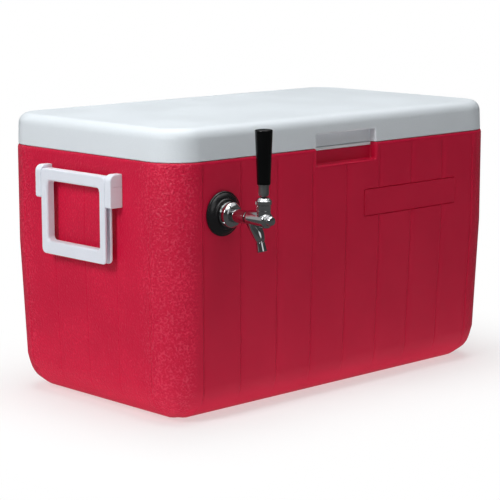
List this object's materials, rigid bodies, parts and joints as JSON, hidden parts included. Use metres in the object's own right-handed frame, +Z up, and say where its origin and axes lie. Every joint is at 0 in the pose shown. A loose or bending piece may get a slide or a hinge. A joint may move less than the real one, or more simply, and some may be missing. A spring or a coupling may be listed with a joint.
{
  "type": "jockey box beer cooler",
  "caption": "Insulated chest with a hinged lid, swing-up handles and a lever tap; beer runs from a rear inlet through a cooling coil standing in the ice to the spout.",
  "frame": {"origin": "on the floor under the middle of the chest's body, at the mount base", "axes": "+X along the chest to the end with the drain, +Y to the hinged back, +Z up; the tap is on the -Y side"},
  "size_m": [0.692, 0.48, 0.399],
  "materials": {
    "red_plastic": "satin",
    "white_plastic": "satin",
    "liner_plastic": "satin",
    "handle_plastic": "satin",
    "foam": "matte",
    "hinge_steel": "satin",
    "black_plastic": "satin",
    "knob_plastic": "gloss",
    "chrome": "polished",
    "ferrule_metal": "satin",
    "lever_steel": "polished",
    "brass": "satin",
    "seal_rubber": "matte",
    "bearing_plastic": "satin",
    "coil_steel": "satin",
    "hose_vinyl": "satin",
    "drain_plastic": "satin"
  },
  "bodies": {
    "cooler": {"outer_shell": "red_plastic", "insulation": "foam", "inner_liner": "liner_plastic", "hinge_body_leaves": "hinge_steel", "hinge_pins": "hinge_steel", "hinge_body_screws": "hinge_steel", "handle_brackets_left": "handle_plastic", "handle_brackets_right": "handle_plastic", "wall_flange": "black_plastic", "tap_shank": "chrome", "tap_shank_washer": "black_plastic", "tap_shank_nut": "brass", "tap_tail_washer": "seal_rubber", "tap_tailpiece": "chrome", "tap_tail_nut": "chrome", "coupling_washer": "seal_rubber", "coupling_nut": "chrome", "tap_body": "chrome", "tap_bonnet": "chrome", "ball_seat": "bearing_plastic", "friction_washer": "bearing_plastic", "inlet_flange": "black_plastic", "inlet_shank": "chrome", "inlet_shank_washer": "black_plastic", "inlet_shank_nut": "brass", "inlet_tail_washer": "seal_rubber", "inlet_tailpiece": "chrome", "inlet_tail_nut": "chrome", "cooling_coil": "coil_steel", "coil_straps": "coil_steel", "outlet_hose": "hose_vinyl", "inlet_hose": "hose_vinyl", "hose_clamps": "coil_steel", "drain_spout": "drain_plastic", "drain_gasket": "seal_rubber", "drain_nut": "drain_plastic"},
    "lid": {"lid_shell": "white_plastic", "lid_insulation": "foam", "lid_liner": "liner_plastic", "hinge_lid_leaves": "hinge_steel", "hinge_lid_screws": "hinge_steel"},
    "left_handle": {"handle_left": "handle_plastic"},
    "right_handle": {"handle_right": "handle_plastic"},
    "lever": {"tap_lever": "lever_steel", "lever_ferrule": "ferrule_metal", "knob_insert": "brass", "tap_knob": "knob_plastic"},
    "valve": {"valve_shaft": "lever_steel", "valve_washer": "seal_rubber", "valve_nut": "brass"},
    "drain_carrier": {"drain_washer": "seal_rubber"},
    "cap": {"drain_cap": "drain_plastic"}
  },
  "joints": [
    {"name": "lid_hinge", "type": "hinge", "parent": "cooler", "child": "lid", "pos_m": [0, 0.19, 0.353], "axis": [-1, 0, 0], "range_deg": [0, 100]},
    {"name": "left_handle_swing", "type": "hinge", "parent": "cooler", "child": "left_handle", "pos_m": [-0.3395, 0, 0.321], "axis": [0, 1, 0], "range_deg": [0, 180]},
    {"name": "right_handle_swing", "type": "hinge", "parent": "cooler", "child": "right_handle", "pos_m": [0.3395, 0, 0.321], "axis": [0, -1, 0], "range_deg": [0, 180]},
    {"name": "lever_tilt", "type": "hinge", "parent": "cooler", "child": "lever", "pos_m": [-0.238, -0.26, 0.3], "axis": [1, 0, 0], "range_deg": [0, 20]},
    {"name": "valve_slide", "type": "slide", "parent": "cooler", "child": "valve", "axis": [0, 1, 0], "range_m": [0, 0.0063]},
    {"name": "drain_travel", "type": "slide", "parent": "cooler", "child": "drain_carrier", "axis": [1, 0, 0], "range_m": [0, 0.0067]},
    {"name": "drain_cap_turn", "type": "hinge", "parent": "drain_carrier", "child": "cap", "pos_m": [0.34, 0, 0.059], "axis": [1, 0, 0], "range_deg": [0, 1080]}
  ],
  "couplings": [
    {"joint": "valve_slide", "follows": "lever_tilt", "m_per_rad": 0.01764},
    {"joint": "drain_travel", "follows": "drain_cap_turn", "m_per_rad": 0.00035152}
  ]
}
